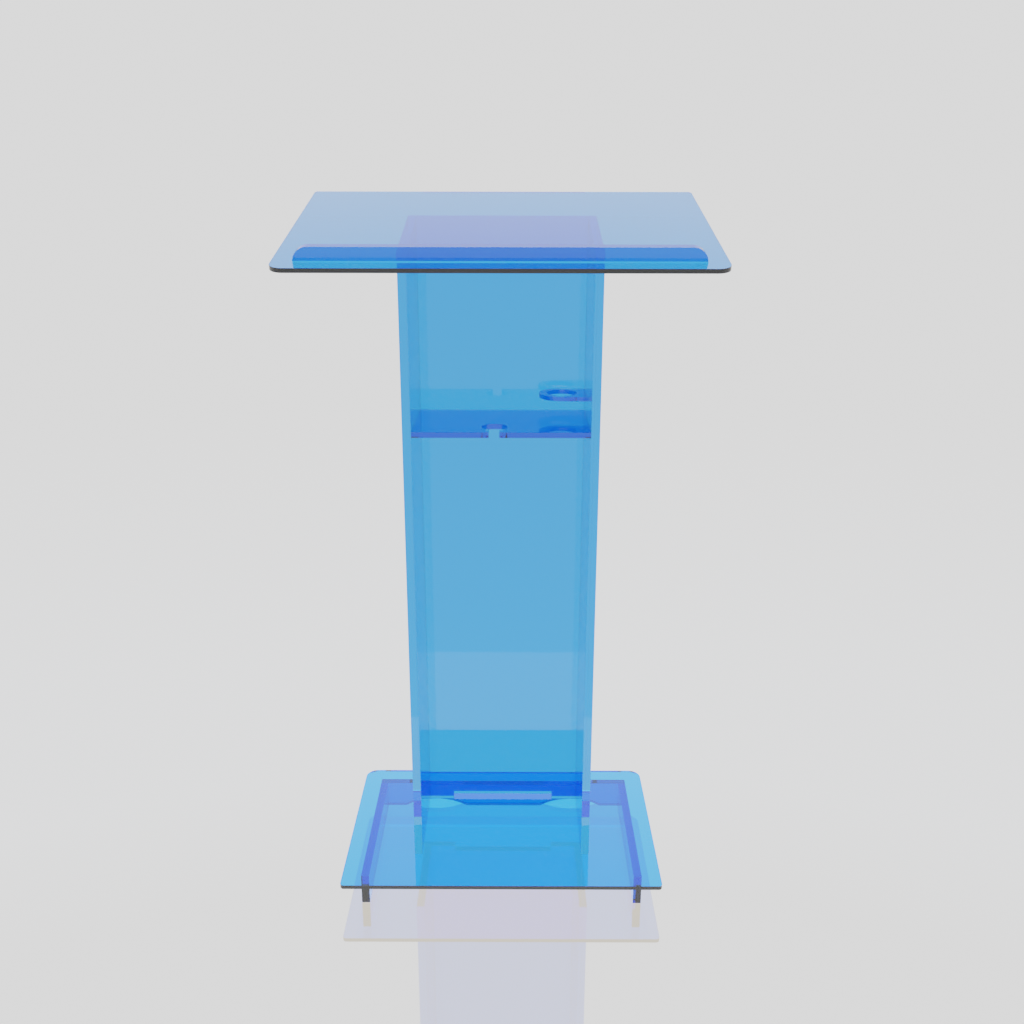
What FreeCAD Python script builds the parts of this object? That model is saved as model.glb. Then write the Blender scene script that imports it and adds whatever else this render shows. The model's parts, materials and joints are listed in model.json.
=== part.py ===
import FreeCAD, Part
import os
import Sketcher

# Presentation lectern built from flat sheets of tinted cast acrylic, cemented edge to face.
# The speaker stands on the -Y side and the audience is on the +Y side. Sizes are millimetres and degrees.
# The origin is on the floor, under the middle of the whole lectern's footprint.

SIZES = [
    ("overall_height", 1075, "floor to the top plate's highest edge"),
    ("overall_depth", 383, "base plate's near edge to the top plate's far edge"),
    ("plate_sheet", 6.35, "thickness of the top plate, base plate and glass holder"),
    ("shelf_sheet", 8, "thickness of the shelf"),
    ("heavy_sheet", 12.7, "thickness of the column panels, the blades and the book stop"),
    ("top_width", 600, "top plate, across"),
    ("top_depth", 388, "top plate, measured up its slope"),
    ("top_slope", 13.3, "top plate's slope in degrees, low at the speaker's side"),
    ("base_width", 500, "base plate, across"),
    ("base_depth", 332, "base plate, near edge to far edge"),
    ("large_corner", 20, "radius of the top plate's near corners and the base plate's far corners"),
    ("small_corner", 6, "radius of the other corners of both plates"),
    ("stop_width", 540, "book stop, across"),
    ("stop_height", 21, "book stop, standing square to the top plate"),
    ("stop_corner", 20, "radius of the book stop's upper corners"),
    ("stop_setback", 22, "book stop's near face, up the slope from the top plate's near edge"),
    ("column_width", 281, "outside faces of the side panels"),
    ("column_depth", 173, "side panels, near end to far end"),
    ("column_setback", 80, "side panels' near ends behind the base plate's near edge"),
    ("notch_width", 172, "cable notch at the foot of the front panel"),
    ("notch_height", 10, "cable notch"),
    ("shelf_level", 752.5, "floor to the shelf's upper face"),
    ("keyhole_radius", 19, "round part of the shelf's cable keyhole"),
    ("keyhole_reach", 36, "keyhole's centre behind the shelf's near edge"),
    ("keyhole_offset", 10, "keyhole's centre to the left of the middle"),
    ("keyhole_neck", 15, "width of the keyhole's slot"),
    ("holder_level", 785, "floor to the glass holder's upper face"),
    ("holder_depth", 69, "glass holder, near edge to far edge"),
    ("holder_length", 71.5, "glass holder, from the right side panel to its round end"),
    ("holder_bore", 23, "radius of the glass holder's hole"),
    ("blade_height", 46, "runners and rear rail"),
    ("blade_spread", 442, "outside faces of the two runners"),
    ("runner_setback", 27.5, "runners' near ends behind the base plate's near edge"),
    ("rail_setback", 26, "rear rail's far face in front of the base plate's far edge"),
    ("centre_foot", 134, "floor contact between the rear rail's two arches"),
    ("arch_width", 109, "arch under the rear rail"),
    ("arch_height", 14, "arch under the rear rail"),
]

doc = FreeCAD.newDocument("lectern")
sheet = doc.addObject("Spreadsheet::Sheet", "Sizes")
for row, (alias, value, meaning) in enumerate(SIZES, start=1):
    sheet.set("A%d" % row, alias.replace("_", " "))
    sheet.set("B%d" % row, str(value))
    sheet.set("C%d" % row, meaning)
    sheet.setAlias("B%d" % row, alias)
doc.recompute()

# Places that several pieces share, as expressions on the sheet
SLOPE = "(Sizes.top_slope * 1 deg)"
NEAR_EDGE = "(-Sizes.overall_depth / 2)"
DECK = "(Sizes.blade_height + Sizes.plate_sheet)"
COLUMN_NEAR = "(%s + Sizes.column_setback)" % NEAR_EDGE
PANEL_NEAR = "(%s + Sizes.column_depth - Sizes.heavy_sheet)" % COLUMN_NEAR
RAIL_NEAR = "(%s + Sizes.base_depth - Sizes.rail_setback - Sizes.heavy_sheet)" % NEAR_EDGE
INNER_WIDTH = "(Sizes.column_width - 2 * Sizes.heavy_sheet)"
NEAR_HEIGHT = ("(Sizes.overall_height - Sizes.plate_sheet * cos{slope}"
               " - (Sizes.overall_depth - Sizes.column_setback) * tan{slope} - {deck})"
               ).format(slope=SLOPE, deck=DECK)
FAR_HEIGHT = "(%s + Sizes.column_depth * tan%s)" % (NEAR_HEIGHT, SLOPE)
PANEL_NEAR_HEIGHT = "(%s - Sizes.heavy_sheet * tan%s)" % (FAR_HEIGHT, SLOPE)

bodies = []


def new_body(label):
    body = doc.addObject("PartDesign::Body", label)
    body.Label = label
    bodies.append(body)
    return body


def place(body, x, y, z, turn=None):
    """Put a body's own origin at x, y, z, turned about X where a turn is given."""
    if turn:
        body.Placement = FreeCAD.Placement(
            FreeCAD.Vector(), FreeCAD.Rotation(FreeCAD.Vector(1, 0, 0), 10))
        body.setExpression("Placement.Rotation.Angle", turn)
    for axis, expression in zip("xyz", (x, y, z)):
        body.setExpression("Placement.Base." + axis, expression)


def new_sketch(body, plane, name):
    sketch = body.newObject("Sketcher::SketchObject", name)
    origin_plane = [f for f in body.Origin.OriginFeatures if f.Role == plane][0]
    sketch.AttachmentSupport = [(origin_plane, "")]
    sketch.MapMode = "FlatFace"
    return sketch


def bind(sketch, constraint, expression):
    """Add one constraint and bind its value to an expression."""
    index = sketch.addConstraint(constraint)
    sketch.setExpression("Constraints[%d]" % index, expression)


def polygon(sketch, corners):
    """A closed outline whose corners are pairs of expressions."""
    count = len(corners)
    rough = [FreeCAD.Vector(*point) for point in rough_ring(count)]
    for i in range(count):
        sketch.addGeometry(Part.LineSegment(rough[i], rough[(i + 1) % count]), False)
    for i in range(count):
        sketch.addConstraint(Sketcher.Constraint("Coincident", i, 2, (i + 1) % count, 1))
    for i, (across, up) in enumerate(corners):
        for kind, expression in (("DistanceX", across), ("DistanceY", up)):
            bind(sketch, Sketcher.Constraint(kind, -1, 1, i, 1, 10.0), expression)


def rough_ring(count):
    """Starting points for an outline's corners, before its constraints move them."""
    turns = [FreeCAD.Rotation(FreeCAD.Vector(0, 0, 1), 360.0 * i / count - 135) for i in range(count)]
    return [turn.multVec(FreeCAD.Vector(50, 0, 0)) + FreeCAD.Vector(60, 60, 0) for turn in turns]


def rectangle(sketch, width, height):
    polygon(sketch, [("0", "0"), (width, "0"), (width, height), ("0", height)])


def circle(sketch, across, up, radius):
    index = sketch.addGeometry(
        Part.Circle(FreeCAD.Vector(30, 30, 0), FreeCAD.Vector(0, 0, 1), 10), False)
    bind(sketch, Sketcher.Constraint("Radius", index, 10.0), radius)
    for kind, expression in (("DistanceX", across), ("DistanceY", up)):
        bind(sketch, Sketcher.Constraint(kind, -1, 1, index, 3, 30.0), expression)


def pad(body, sketch, length):
    feature = body.newObject("PartDesign::Pad", body.Label + "_pad")
    feature.Profile = sketch
    feature.setExpression("Length", length)
    doc.recompute()
    return feature


def cut_through(body, sketch, name, upward=False):
    """Cut a sketch right through the body, and make sure that material went."""
    before = body.Shape.Volume
    feature = body.newObject("PartDesign::Pocket", name)
    feature.Profile = sketch
    feature.Type = "ThroughAll"
    feature.Reversed = upward
    doc.recompute()
    if not body.Shape.Volume < before - 1:
        raise RuntimeError(name + " cuts nothing")
    return feature


def round_edges(body, radius, wanted):
    """Fillet the straight edges that the test picks from the body's tip."""
    tip = body.Tip
    names = ["Edge%d" % (i + 1) for i, edge in enumerate(tip.Shape.Edges) if wanted(edge)]
    feature = body.newObject("PartDesign::Fillet", body.Label + "_corners")
    feature.Base = (tip, names)
    feature.setExpression("Radius", radius)
    doc.recompute()
    return feature


def runs_along(edge, axis):
    """True for a straight edge parallel to the given axis, 0 for X, 1 for Y and 2 for Z."""
    start, end = edge.Vertexes[0].Point, edge.Vertexes[-1].Point
    step = [abs(a - b) for a, b in zip(start, end)]
    return isinstance(edge.Curve, Part.Line) and step[axis] > 0.99 * sum(step)


def flat_plate(label, width, depth, near_corner, far_corner):
    """A plate lying on its own XY plane, with one radius at its near and one at its far corners."""
    body = new_body(label)
    sketch = new_sketch(body, "XY_Plane", label + "_outline")
    rectangle(sketch, width, depth)
    pad(body, sketch, "Sizes.plate_sheet")
    middle = body.Shape.BoundBox.Center.y

    def upright(edge, far):
        return runs_along(edge, 2) and (edge.CenterOfMass.y > middle) == far

    round_edges(body, near_corner, lambda edge: upright(edge, False))
    round_edges(body, far_corner, lambda edge: upright(edge, True))
    return body


def upright_sheet(label, profile, width):
    """A sheet drawn from the side, on its own YZ plane, and as wide as given along X."""
    body = new_body(label)
    sketch = new_sketch(body, "YZ_Plane", label + "_side")
    polygon(sketch, profile)
    pad(body, sketch, width)
    return body


def block_profile(depth, height):
    return [("0", "0"), (depth, "0"), (depth, height), ("0", height)]


# Base: a plate on two runners and a rear rail, all three standing on edge
base_plate = flat_plate("base_plate", "Sizes.base_width", "Sizes.base_depth",
                        "Sizes.small_corner", "Sizes.large_corner")
place(base_plate, "-Sizes.base_width / 2", NEAR_EDGE, "Sizes.blade_height")

RUNNER_NEAR = "(%s + Sizes.runner_setback)" % NEAR_EDGE
RUNNER_LENGTH = "%s - %s" % (RAIL_NEAR, RUNNER_NEAR)
RUNNER_PLACES = (("runner_left", "-Sizes.blade_spread / 2"),
                 ("runner_right", "Sizes.blade_spread / 2 - Sizes.heavy_sheet"))
for label, left_face in RUNNER_PLACES:
    runner = upright_sheet(label, block_profile(RUNNER_LENGTH, "Sizes.blade_height"), "Sizes.heavy_sheet")
    place(runner, left_face, RUNNER_NEAR, "0")

rear_rail = upright_sheet("rear_rail", block_profile("Sizes.heavy_sheet", "Sizes.blade_height"),
                          "Sizes.blade_spread")
ARCH_RADIUS = "((Sizes.arch_width / 2) ^ 2 + Sizes.arch_height ^ 2) / (2 * Sizes.arch_height)"
arches = new_sketch(rear_rail, "XZ_Plane", "rear_rail_arch_circles")
for side in ("-", "+"):
    arch_middle = "Sizes.blade_spread / 2 %s (Sizes.centre_foot + Sizes.arch_width) / 2" % side
    circle(arches, arch_middle, "Sizes.arch_height - " + ARCH_RADIUS, ARCH_RADIUS)
cut_through(rear_rail, arches, "rear_rail_arches")
place(rear_rail, "-Sizes.blade_spread / 2", RAIL_NEAR, "0")

# Column: two side panels with the front panel between them, open towards the speaker
SIDE_PROFILE = [("0", "0"), ("Sizes.column_depth", "0"), ("Sizes.column_depth", FAR_HEIGHT),
                ("0", NEAR_HEIGHT)]
SIDE_PLACES = (("side_panel_left", "-Sizes.column_width / 2"),
               ("side_panel_right", "Sizes.column_width / 2 - Sizes.heavy_sheet"))
for label, left_face in SIDE_PLACES:
    panel = upright_sheet(label, SIDE_PROFILE, "Sizes.heavy_sheet")
    place(panel, left_face, COLUMN_NEAR, DECK)

front_panel = upright_sheet("front_panel", [("0", "0"), ("Sizes.heavy_sheet", "0"),
                                            ("Sizes.heavy_sheet", FAR_HEIGHT),
                                            ("0", PANEL_NEAR_HEIGHT)], INNER_WIDTH)
notch = new_sketch(front_panel, "XZ_Plane", "front_panel_notch_outline")
NOTCH_LEFT = "(%s - Sizes.notch_width) / 2" % INNER_WIDTH
NOTCH_RIGHT = "(%s + Sizes.notch_width) / 2" % INNER_WIDTH
polygon(notch, [(NOTCH_LEFT, "-1"), (NOTCH_RIGHT, "-1"), (NOTCH_RIGHT, "Sizes.notch_height"),
                (NOTCH_LEFT, "Sizes.notch_height")])
cut_through(front_panel, notch, "front_panel_notch")
place(front_panel, "-%s / 2" % INNER_WIDTH, PANEL_NEAR, DECK)

# Shelf between the side panels, with a keyhole for cables in its near edge
shelf = new_body("shelf")
shelf_outline = new_sketch(shelf, "XY_Plane", "shelf_outline")
rectangle(shelf_outline, INNER_WIDTH, "Sizes.column_depth - Sizes.heavy_sheet")
pad(shelf, shelf_outline, "Sizes.shelf_sheet")
KEYHOLE_MIDDLE = "(%s / 2 - Sizes.keyhole_offset)" % INNER_WIDTH
NECK_LEFT = KEYHOLE_MIDDLE + " - Sizes.keyhole_neck / 2"
NECK_RIGHT = KEYHOLE_MIDDLE + " + Sizes.keyhole_neck / 2"
keyhole_round = new_sketch(shelf, "XY_Plane", "shelf_keyhole_circle")
circle(keyhole_round, KEYHOLE_MIDDLE, "Sizes.keyhole_reach", "Sizes.keyhole_radius")
keyhole_neck = new_sketch(shelf, "XY_Plane", "shelf_keyhole_neck_outline")
polygon(keyhole_neck, [(NECK_LEFT, "-1"), (NECK_RIGHT, "-1"), (NECK_RIGHT, "Sizes.keyhole_reach"),
                       (NECK_LEFT, "Sizes.keyhole_reach")])
cut_through(shelf, keyhole_round, "shelf_keyhole_hole", upward=True)
cut_through(shelf, keyhole_neck, "shelf_keyhole_slot", upward=True)
place(shelf, "-%s / 2" % INNER_WIDTH, COLUMN_NEAR, "Sizes.shelf_level - Sizes.shelf_sheet")

# Glass holder: a bracket with one round end, in the corner of the right side panel and front panel
glass_holder = new_body("glass_holder")
holder_outline = new_sketch(glass_holder, "XY_Plane", "glass_holder_outline")
END_RADIUS = "Sizes.holder_depth / 2"
rim = [FreeCAD.Vector(20, 0, 0), FreeCAD.Vector(70, 0, 0), FreeCAD.Vector(70, 40, 0),
       FreeCAD.Vector(20, 40, 0)]
for start, end in zip(rim[:3], rim[1:]):
    holder_outline.addGeometry(Part.LineSegment(start, end), False)
round_end = Part.Arc(rim[3], FreeCAD.Vector(0, 20, 0), rim[0])
holder_outline.addGeometry(round_end, False)
NEAR_LINE, WALL_LINE, FAR_LINE, END_ARC = range(4)
for first, second in ((NEAR_LINE, WALL_LINE), (WALL_LINE, FAR_LINE)):
    holder_outline.addConstraint(Sketcher.Constraint("Coincident", first, 2, second, 1))
holder_outline.addConstraint(Sketcher.Constraint("Horizontal", NEAR_LINE))
holder_outline.addConstraint(Sketcher.Constraint("Horizontal", FAR_LINE))
holder_outline.addConstraint(Sketcher.Constraint("Vertical", WALL_LINE))
holder_outline.addConstraint(Sketcher.Constraint("Tangent", FAR_LINE, 2, END_ARC, 1))
holder_outline.addConstraint(Sketcher.Constraint("Tangent", END_ARC, 2, NEAR_LINE, 1))
bind(holder_outline, Sketcher.Constraint("DistanceX", -1, 1, WALL_LINE, 1, 70.0), "Sizes.holder_length")
bind(holder_outline, Sketcher.Constraint("DistanceY", -1, 1, WALL_LINE, 1, 0.0), "0")
for kind in ("DistanceX", "DistanceY"):
    bind(holder_outline, Sketcher.Constraint(kind, -1, 1, END_ARC, 3, 20.0), END_RADIUS)
pad(glass_holder, holder_outline, "Sizes.plate_sheet")
holder_hole = new_sketch(glass_holder, "XY_Plane", "glass_holder_circle")
circle(holder_hole, END_RADIUS, END_RADIUS, "Sizes.holder_bore")
cut_through(glass_holder, holder_hole, "glass_holder_hole", upward=True)
place(glass_holder, "%s / 2 - Sizes.holder_length" % INNER_WIDTH,
      "%s - Sizes.holder_depth" % PANEL_NEAR, "Sizes.holder_level - Sizes.plate_sheet")

# Top: a sloping plate cemented on the column, and a book stop standing on it near its low edge
UP_SLOPE_Y = "Sizes.overall_depth / 2 - ({run}) * cos{slope}"
UP_SLOPE_Z = "Sizes.overall_height - Sizes.plate_sheet * cos{slope} - ({run}) * sin{slope}"


def on_slope(template, run):
    """A place on the top plate's underside, the given run down the slope from its far edge."""
    return template.format(slope=SLOPE, run=run)


top_plate = flat_plate("top_plate", "Sizes.top_width", "Sizes.top_depth",
                       "Sizes.large_corner", "Sizes.small_corner")
place(top_plate, "-Sizes.top_width / 2", on_slope(UP_SLOPE_Y, "Sizes.top_depth"),
      on_slope(UP_SLOPE_Z, "Sizes.top_depth"), turn=SLOPE)

book_stop = upright_sheet("book_stop", block_profile("Sizes.heavy_sheet", "Sizes.stop_height"),
                          "Sizes.stop_width")
round_edges(book_stop, "Sizes.stop_corner",
            lambda edge: runs_along(edge, 1) and edge.CenterOfMass.z > sheet.stop_height / 2)
STOP_RUN = "Sizes.top_depth - Sizes.stop_setback"
place(book_stop, "-Sizes.stop_width / 2",
      on_slope(UP_SLOPE_Y, STOP_RUN) + " - Sizes.plate_sheet * sin" + SLOPE,
      on_slope(UP_SLOPE_Z, STOP_RUN) + " + Sizes.plate_sheet * cos" + SLOPE, turn=SLOPE)

# Every object is sound and every piece is one valid solid before any file is written
doc.recompute()
for item in doc.Objects:
    if "Invalid" in item.State or "Error" in item.State:
        raise RuntimeError("%s failed: %s" % (item.Name, item.State))
os.makedirs("parts", exist_ok=True)
for body in bodies:
    if body.Shape.isNull() or not body.Shape.isValid() or len(body.Shape.Solids) != 1:
        raise RuntimeError(body.Label + " is not one valid solid")
for body in bodies:
    body.Shape.exportStep("parts/%s.step" % body.Label)
    box = body.Shape.BoundBox
    print("%-16s %8.1f cm3   x %7.1f %7.1f   y %7.1f %7.1f   z %7.1f %7.1f"
          % (body.Label, body.Shape.Volume / 1000, box.XMin, box.XMax, box.YMin, box.YMax,
             box.ZMin, box.ZMax))
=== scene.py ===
import json
import math

import bpy
from mathutils import Matrix, Vector


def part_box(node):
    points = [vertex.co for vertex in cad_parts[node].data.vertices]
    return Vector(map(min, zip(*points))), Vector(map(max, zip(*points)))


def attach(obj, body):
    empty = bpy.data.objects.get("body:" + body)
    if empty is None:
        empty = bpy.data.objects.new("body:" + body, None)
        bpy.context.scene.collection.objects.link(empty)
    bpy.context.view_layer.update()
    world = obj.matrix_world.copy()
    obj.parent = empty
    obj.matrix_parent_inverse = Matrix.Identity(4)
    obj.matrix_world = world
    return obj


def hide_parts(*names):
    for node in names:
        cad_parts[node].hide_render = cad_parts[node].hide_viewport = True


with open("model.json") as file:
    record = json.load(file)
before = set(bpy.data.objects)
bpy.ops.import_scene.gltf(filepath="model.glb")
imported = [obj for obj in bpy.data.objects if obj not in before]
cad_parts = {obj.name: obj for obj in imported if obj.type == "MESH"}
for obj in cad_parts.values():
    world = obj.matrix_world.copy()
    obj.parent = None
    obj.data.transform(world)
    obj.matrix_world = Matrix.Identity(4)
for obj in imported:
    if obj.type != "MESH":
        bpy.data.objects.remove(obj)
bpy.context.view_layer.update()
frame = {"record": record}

# Presentation lectern of tinted cast acrylic. Every sheet is a closed piece of clear plastic of its own,
# so that light bends, mirrors and is trapped in its edges as it is in the real sheet.
# Lengths are in metres, +Z is up, and the speaker stands on the -Y side.

MILLIMETRE = 0.001

# How the sheets are finished and put together
CEMENT_FILM = 0.03 * MILLIMETRE     # each sheet's share of the film between two cemented faces
ARRIS = 0.12 * MILLIMETRE           # flat rubbed on every sawn edge before polishing
SHARP = math.radians(40)            # edges that turn by more than this get the arris
CURVED = math.radians(50)           # faces that turn by less than this are shaded as one curve
CORNER_STEPS = 20                   # facets round a quarter corner
CUTTER_STEPS = 160                  # facets round a drilled hole or a routed arch
SAME_POINT = 0.001 * MILLIMETRE     # points closer than this are one
SAME_PLANE = math.radians(0.1)      # faces that turn by less than this are one
PARALLEL = 0.99                     # cosine above which an edge runs along a direction

# Outlines that the sheets are cut to
LARGE_CORNER = 20 * MILLIMETRE      # top plate's near corners, base plate's far corners
SMALL_CORNER = 6 * MILLIMETRE
STOP_CORNER = 20 * MILLIMETRE
KEYHOLE_NECK = 15 * MILLIMETRE
NOTCH_WIDTH = 172 * MILLIMETRE
NOTCH_HEIGHT = 10 * MILLIMETRE
CENTRE_FOOT = 134 * MILLIMETRE
ARCH_WIDTH = 109 * MILLIMETRE
ARCH_HEIGHT = 14 * MILLIMETRE

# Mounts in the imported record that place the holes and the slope
MOUNTS = {mount["name"]: mount for mount in frame["record"]["mounts"]}
PLATE_NORMAL = Vector(MOUNTS["reading_surface"]["axis"]).normalized()
PLATE_POINT = Vector(MOUNTS["reading_surface"]["pos_m"])
SLOPE = math.atan2(-PLATE_NORMAL.y, PLATE_NORMAL.z)
UP_SLOPE = Vector((0, math.cos(SLOPE), math.sin(SLOPE)))
PLATE_SHEET = 6.35 * MILLIMETRE
HEAVY_SHEET = 12.7 * MILLIMETRE


# ---------------------------------------------------------------- modelling by hand, in code

def deselect_all():
    if bpy.context.object and bpy.context.object.mode != "OBJECT":
        bpy.ops.object.mode_set(mode="OBJECT")
    bpy.ops.object.select_all(action="DESELECT")


def make_active(piece):
    deselect_all()
    piece.select_set(True)
    bpy.context.view_layer.objects.active = piece


def block(name, centre, size, slope=0.0):
    """A block of the given size, turned by the slope about X, with its place in its mesh."""
    deselect_all()
    bpy.ops.mesh.primitive_cube_add(size=1, location=centre, rotation=(slope, 0, 0))
    piece = bpy.context.object
    piece.name = piece.data.name = name
    piece.scale = size
    bpy.ops.object.transform_apply(location=True, rotation=True, scale=True)
    return piece


def sheet_from_node(name):
    """The block that a node's box gives, less the cement film all round."""
    low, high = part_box(name)
    return block(name + "_sheet", (low + high) / 2, (high - low) - Vector((2, 2, 2)) * CEMENT_FILM)


def drill(name, centre, radius, length, along="Z"):
    """A round cutter."""
    turn = {"Z": (0, 0, 0), "Y": (math.pi / 2, 0, 0)}[along]
    deselect_all()
    bpy.ops.mesh.primitive_cylinder_add(vertices=CUTTER_STEPS, radius=radius, depth=length,
                                        location=centre, rotation=turn)
    cutter = bpy.context.object
    cutter.name = name
    bpy.ops.object.transform_apply(location=True, rotation=True, scale=True)
    return cutter


def edge_direction(piece, edge):
    start, end = (piece.data.vertices[i].co for i in edge.vertices)
    return (end - start).normalized()


def edge_middle(piece, edge):
    start, end = (piece.data.vertices[i].co for i in edge.vertices)
    return (start + end) / 2


def select_edges(piece, wanted):
    """Leave the piece in edit mode with only the wanted edges selected."""
    make_active(piece)
    bpy.ops.object.mode_set(mode="EDIT")
    bpy.ops.mesh.select_mode(type="EDGE")
    bpy.ops.mesh.select_all(action="DESELECT")
    bpy.ops.object.mode_set(mode="OBJECT")
    for edge in piece.data.edges:
        edge.select = wanted(edge)
    bpy.ops.object.mode_set(mode="EDIT")


def round_corners(piece, radius, direction, wanted):
    """Round the edges that run along a direction and whose middle the test picks."""
    select_edges(piece, lambda edge: abs(edge_direction(piece, edge).dot(direction)) > PARALLEL
                 and wanted(edge_middle(piece, edge)))
    bpy.ops.mesh.bevel(offset=radius, offset_type="OFFSET", segments=CORNER_STEPS, profile=0.5,
                       affect="EDGES", clamp_overlap=False)
    bpy.ops.object.mode_set(mode="OBJECT")


def saw_to_slope(piece, level):
    """Saw a piece off along the top plate's slope, this far along the plate's normal."""
    make_active(piece)
    bpy.ops.object.mode_set(mode="EDIT")
    bpy.ops.mesh.select_all(action="SELECT")
    bpy.ops.mesh.bisect(plane_co=PLATE_POINT + PLATE_NORMAL * level, plane_no=PLATE_NORMAL,
                        use_fill=True, clear_outer=True)
    bpy.ops.object.mode_set(mode="OBJECT")


def cut_away(piece, cutter):
    """Take the cutter's shape out of a piece."""
    modifier = piece.modifiers.new("cut", "BOOLEAN")
    modifier.operation = "DIFFERENCE"
    modifier.solver = "EXACT"
    modifier.object = cutter
    make_active(piece)
    bpy.ops.object.modifier_apply(modifier=modifier.name)
    bpy.data.objects.remove(cutter)


def polish(piece):
    """Rub an arris on the sharp edges, and shade the faces flat and the curves smooth."""
    make_active(piece)
    bpy.ops.object.mode_set(mode="EDIT")
    bpy.ops.mesh.select_all(action="SELECT")
    bpy.ops.mesh.remove_doubles(threshold=SAME_POINT)
    bpy.ops.mesh.dissolve_limited(angle_limit=SAME_PLANE)
    bpy.ops.mesh.normals_make_consistent(inside=False)
    bpy.ops.object.mode_set(mode="OBJECT")
    arris = piece.modifiers.new("arris", "BEVEL")
    arris.width = ARRIS
    arris.segments = 2
    arris.limit_method = "ANGLE"
    arris.angle_limit = SHARP
    bpy.ops.object.modifier_apply(modifier=arris.name)
    bpy.ops.object.shade_smooth_by_angle(angle=CURVED)
    weighted = piece.modifiers.new("flat_faces", "WEIGHTED_NORMAL")
    weighted.keep_sharp = True
    weighted.weight = 100
    bpy.ops.object.modifier_apply(modifier=weighted.name)


# ---------------------------------------------------------------- materials

class Socket:
    """A shader socket that adds Math nodes when it is used in arithmetic."""

    def __init__(self, graph, socket):
        self.graph, self.socket = graph, socket

    def _maths(self, operation, other):
        return self.graph.node("ShaderNodeMath", {"operation": operation}, {0: self, 1: other})

    def __add__(self, other):
        return self._maths("ADD", other)

    def __mul__(self, other):
        return self._maths("MULTIPLY", other)

    def __pow__(self, other):
        return self._maths("POWER", other)

    __radd__ = __add__
    __rmul__ = __mul__


class Graph:
    """The node tree of a material or of the world, emptied and ready to be filled."""

    def __init__(self, owner):
        owner.use_nodes = True
        self.tree = owner.node_tree
        self.tree.nodes.clear()

    def node(self, kind, settings=None, inputs=None, output=0):
        """Add a node, set it up, fill or link its sockets, and give one of its outputs."""
        made = self.tree.nodes.new(kind)
        for setting, value in (settings or {}).items():
            setattr(made, setting, value)
        for key, value in (inputs or {}).items():
            if isinstance(value, Socket):
                self.tree.links.new(value.socket, made.inputs[key])
            else:
                made.inputs[key].default_value = value
        return Socket(self, made.outputs[output]) if made.outputs else None

    def mottle(self, size, detail):
        """Soft blotches of about this size in metres, from 0 to 1, fixed to the piece."""
        place = self.node("ShaderNodeTexCoord", output="Object")
        return self.node("ShaderNodeTexNoise", inputs={"Vector": place, "Scale": 1 / size, "Detail": detail})


def acrylic(name, tint, haze):
    """Polished cast acrylic: the tint is what one sheet lets through, the haze is its finger marks'."""
    material = bpy.data.materials.new(name)
    graph = Graph(material)
    dye = graph.mottle(DYE_CLOUD, detail=2.0)
    marks = graph.mottle(FINGER_MARK, detail=5.0) ** FINGER_MARK_FALL * haze
    dust = graph.mottle(DUST_SPECK, detail=1.0) ** DUST_FALL * DUST_HAZE
    swells = graph.mottle(SWELL, detail=1.0)
    paler, deeper = ((*(c * (1 + DYE_DRIFT * sign) for c in tint), 1) for sign in (1, -1))
    colour = graph.node("ShaderNodeMix", {"data_type": "RGBA"}, {"Factor": dye, "A": deeper, "B": paler},
                        output="Result")
    waves = graph.node("ShaderNodeBump", inputs={"Height": swells, "Strength": 1.0, "Distance": WAVINESS})
    surface = graph.node("ShaderNodeBsdfPrincipled", inputs={
        "Base Color": colour, "Roughness": marks + dust, "IOR": REFRACTIVE_INDEX,
        "Transmission Weight": 1.0, "Normal": waves})
    graph.node("ShaderNodeOutputMaterial", inputs={"Surface": surface})
    return material


# Clear blue sheet, all of one dye, with more finger marks where it is handled or stands on the floor
SHEET_TINT = (0.0326, 0.29, 0.911)
REFRACTIVE_INDEX = 1.49
DYE_CLOUD = 330 * MILLIMETRE        # size of the dye's slow changes over a sheet
DYE_DRIFT = 0.015                   # and how far its strength wanders
SWELL = 120 * MILLIMETRE            # size of the slow swells that casting leaves in the faces
WAVINESS = 0.01 * MILLIMETRE        # and their height
FINGER_MARK = 26 * MILLIMETRE
FINGER_MARK_FALL = 3                # the higher, the fewer and the clearer the marks
DUST_SPECK = 1.5 * MILLIMETRE
DUST_FALL = 12
DUST_HAZE = 0.2
FINISHES = {slot: acrylic(slot, SHEET_TINT, haze) for slot, haze in (
    ("plate_acrylic", 0.012), ("panel_acrylic", 0.012), ("blade_acrylic", 0.02),
    ("shelf_acrylic", 0.016), ("stop_acrylic", 0.02))}


def put_finish(piece, slot):
    piece.data.materials.clear()
    piece.data.materials.append(FINISHES[slot])


def hand_over(piece, node, slot):
    """Finish a piece and let it stand for its CAD node."""
    polish(piece)
    put_finish(piece, slot)
    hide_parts(node)
    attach(piece, "root")


# ---------------------------------------------------------------- the eleven sheets

def sloping_block(node, thickness, name):
    """The block that lies on the slope and just fills a node's box."""
    low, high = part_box(node)
    span_y, span_z = high.y - low.y, high.z - low.z
    depth = (span_y - thickness * math.sin(SLOPE)) / math.cos(SLOPE)
    size = Vector((high.x - low.x, depth, thickness)) - Vector((2, 2, 2)) * CEMENT_FILM
    return block(name, (low + high) / 2, size, SLOPE)


def top_plate():
    plate = sloping_block("top_plate", PLATE_SHEET, "top_plate_sheet")
    low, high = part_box("top_plate")
    middle = (low.y + high.y) / 2
    round_corners(plate, LARGE_CORNER, PLATE_NORMAL, lambda point: point.y < middle)
    round_corners(plate, SMALL_CORNER, PLATE_NORMAL, lambda point: point.y > middle)
    hand_over(plate, "top_plate", "plate_acrylic")


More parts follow.
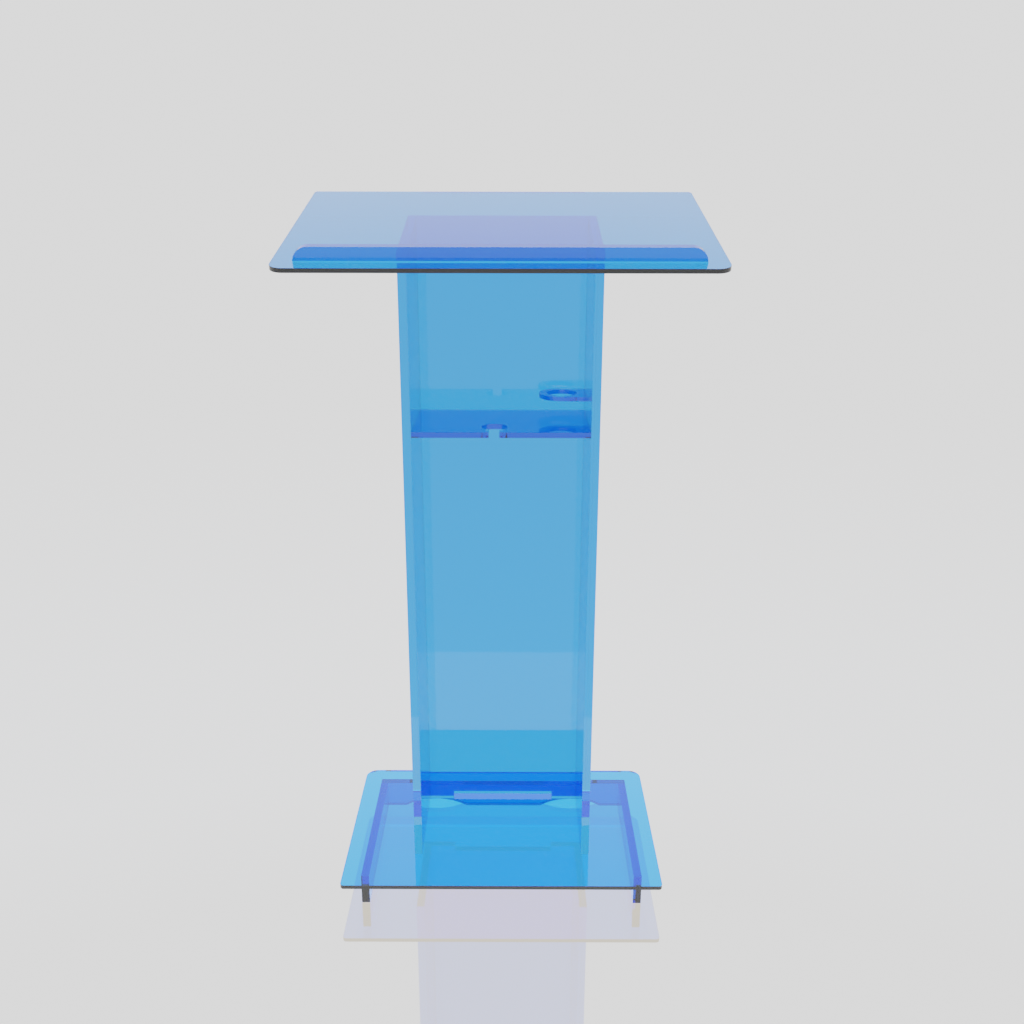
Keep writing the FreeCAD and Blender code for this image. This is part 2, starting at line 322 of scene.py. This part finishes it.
def base_plate():
    plate = sheet_from_node("base_plate")
    low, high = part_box("base_plate")
    middle = (low.y + high.y) / 2
    round_corners(plate, SMALL_CORNER, Vector((0, 0, 1)), lambda point: point.y < middle)
    round_corners(plate, LARGE_CORNER, Vector((0, 0, 1)), lambda point: point.y > middle)
    hand_over(plate, "base_plate", "plate_acrylic")


def book_stop():
    low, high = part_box("book_stop")
    height = (high.z - low.z - HEAVY_SHEET * math.sin(SLOPE)) / math.cos(SLOPE)
    size = Vector((high.x - low.x, HEAVY_SHEET, height)) - Vector((2, 2, 2)) * CEMENT_FILM
    stop = block("book_stop_sheet", (low + high) / 2, size, SLOPE)
    middle = (low + high) / 2
    round_corners(stop, STOP_CORNER, UP_SLOPE, lambda point: (point - middle).dot(PLATE_NORMAL) > 0)
    hand_over(stop, "book_stop", "stop_acrylic")


def column():
    for node in ("side_panel_left", "side_panel_right", "front_panel"):
        panel = sheet_from_node(node)
        saw_to_slope(panel, -PLATE_SHEET - CEMENT_FILM)
        if node == "front_panel":
            cut_notch(panel)
        hand_over(panel, node, "panel_acrylic")


def cut_notch(panel):
    low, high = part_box("front_panel")
    centre = Vector((0, (low.y + high.y) / 2, low.z))
    cut_away(panel, block("notch_cutter", centre, (NOTCH_WIDTH, 2 * HEAVY_SHEET, 2 * NOTCH_HEIGHT)))


def shelf():
    board = sheet_from_node("shelf")
    low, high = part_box("shelf")
    keyhole = MOUNTS["cable_keyhole"]
    centre = Vector(keyhole["pos_m"])
    thickness = high.z - low.z
    cut_away(board, drill("keyhole_cutter", centre, keyhole["dims"]["r_mm"] * MILLIMETRE, 3 * thickness))
    reach = centre.y - low.y
    neck = block("neck_cutter", (centre.x, centre.y - reach, centre.z),
                 (KEYHOLE_NECK, 2 * reach, 3 * thickness))
    cut_away(board, neck)
    hand_over(board, "shelf", "shelf_acrylic")


def glass_holder():
    bracket = sheet_from_node("glass_holder")
    low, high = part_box("glass_holder")
    middle = (low.x + high.x) / 2
    almost_half = (high.y - low.y) / 2 - CEMENT_FILM - 10 * SAME_POINT
    round_corners(bracket, almost_half, Vector((0, 0, 1)), lambda point: point.x < middle)
    hole = MOUNTS["glass_holder_hole"]
    cut_away(bracket, drill("holder_cutter", Vector(hole["pos_m"]), hole["dims"]["r_mm"] * MILLIMETRE,
                            3 * (high.z - low.z)))
    hand_over(bracket, "glass_holder", "plate_acrylic")


def runners():
    for node in ("runner_left", "runner_right"):
        hand_over(sheet_from_node(node), node, "blade_acrylic")


def rear_rail():
    rail = sheet_from_node("rear_rail")
    low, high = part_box("rear_rail")
    radius = ((ARCH_WIDTH / 2) ** 2 + ARCH_HEIGHT ** 2) / (2 * ARCH_HEIGHT)
    for side in (-1, 1):
        centre = (side * (CENTRE_FOOT + ARCH_WIDTH) / 2, (low.y + high.y) / 2, ARCH_HEIGHT - radius)
        cut_away(rail, drill("arch_cutter", centre, radius, 3 * HEAVY_SHEET, along="Y"))
    hand_over(rail, "rear_rail", "blade_acrylic")


# ---------------------------------------------------------------- studio

ROOM_LIGHT = 1.376                  # radiance of the even white room
HIGH_LIGHT = 1.62                   # the soft lights hung round the room, about 30 degrees up
LIGHTS_HEIGHT = ((0.20, 0.42), (0.60, 0.52))    # sines of the angles at which they fade in, from both sides
PAINTED_POOL_GLOW = 2.24                  # painted pool of light: what the glowing floor patch under and before the lectern sends up
PAINTED_POOL_DEPTH = (-0.66, 0.226)        # near and far edge of that painted pool of light
PAINTED_POOL_HALF_WIDTH = 0.6
FLOOR_SIZE = (60, 60)
FLOOR_ROUGHNESS = 0.02
LAYER_GAP = 0.1 * MILLIMETRE        # between the floor's layers
FLOOR_MIRROR = (0.34, 0.40, 0.50)   # how much of each colour the floor mirrors, seen directly
PAINTED_POOL_MIRROR = (0.72, 0.72, 0.72)   # and seen through the sheets or mirrored by them


def room():
    """An even white room, a little brighter where its soft lights hang."""
    world = bpy.data.worlds.new("room")
    graph = Graph(world)
    place = graph.node("ShaderNodeTexCoord", output="Generated")
    height = graph.node("ShaderNodeSeparateXYZ", inputs={0: place}, output="Z")
    below, above = (graph.node("ShaderNodeMapRange",
                               inputs={"Value": height, "From Min": dark, "From Max": full})
                    for dark, full in LIGHTS_HEIGHT)
    light = ROOM_LIGHT + (HIGH_LIGHT - ROOM_LIGHT) * below * above
    background = graph.node("ShaderNodeBackground", inputs={"Color": light})
    graph.node("ShaderNodeOutputWorld", inputs={"Surface": background})
    bpy.context.scene.world = world
    bpy.context.scene.view_settings.view_transform = "Filmic"


def polished_floor(name, light, mirror):
    """A floor that sends up this much light in all, part of it as a mirror of the room."""
    material = bpy.data.materials.new(name)
    graph = Graph(material)
    glow = tuple(light - share * ROOM_LIGHT for share in mirror)
    paint = graph.node("ShaderNodeEmission", inputs={"Color": (*glow, 1), "Strength": 1.0})
    gloss = graph.node("ShaderNodeBsdfGlossy", inputs={"Color": (*mirror, 1), "Roughness": FLOOR_ROUGHNESS})
    both = graph.node("ShaderNodeAddShader", inputs={0: paint, 1: gloss})
    graph.node("ShaderNodeOutputMaterial", inputs={"Surface": both})
    return material


def studio_plane(name, centre, size, material, seen_directly):
    """One layer of the floor: seen by the camera itself, or only through and in the sheets."""
    deselect_all()
    bpy.ops.mesh.primitive_plane_add(size=1, location=centre)
    plane = bpy.context.object
    plane.name = name
    plane.scale = (*size, 1)
    plane.data.materials.append(material)
    plane.visible_camera = seen_directly
    plane.visible_glossy = plane.visible_transmission = not seen_directly


def studio():
    room()
    near, far = PAINTED_POOL_DEPTH
    plain = polished_floor("pale_floor", ROOM_LIGHT, FLOOR_MIRROR)
    # Painted pool of light: a floor patch that glows brighter than the room, hidden from the camera and seen
    # only through and in the sheets
    painted_glow = polished_floor("painted_glow_floor", PAINTED_POOL_GLOW, PAINTED_POOL_MIRROR)
    studio_plane("floor", (0, 0, -LAYER_GAP), FLOOR_SIZE, plain, seen_directly=True)
    studio_plane("painted_glow_floor", (0, (near + far) / 2, -2 * LAYER_GAP), (2 * PAINTED_POOL_HALF_WIDTH, far - near),
                 painted_glow, seen_directly=False)
    studio_plane("floor_seen_in_sheets", (0, 0, -3 * LAYER_GAP), FLOOR_SIZE, plain, seen_directly=False)


# Where the viewer stands: the speaker's side, a little above the reading surface
EYE = (0.01899, -1.56158, 1.09780)
SENSOR_MM = 36
LENS_MM = 36.884
LOOK_DOWN, LOOK_LEFT, LEAN = (math.radians(angle) for angle in (17.723, 0.128, 0.095))


def camera():
    data = bpy.data.cameras.new("camera")
    data.sensor_width = SENSOR_MM
    data.lens = LENS_MM
    viewer = bpy.data.objects.new("camera", data)
    viewer.location = EYE
    aim = (Matrix.Rotation(LOOK_LEFT, 3, "Z") @ Matrix.Rotation(math.pi / 2 - LOOK_DOWN, 3, "X")
           @ Matrix.Rotation(LEAN, 3, "Z"))
    viewer.rotation_euler = aim.to_euler()
    bpy.context.scene.collection.objects.link(viewer)
    bpy.context.scene.camera = viewer


camera()
studio()
top_plate()
book_stop()
column()
shelf()
glass_holder()
base_plate()
runners()
rear_rail()
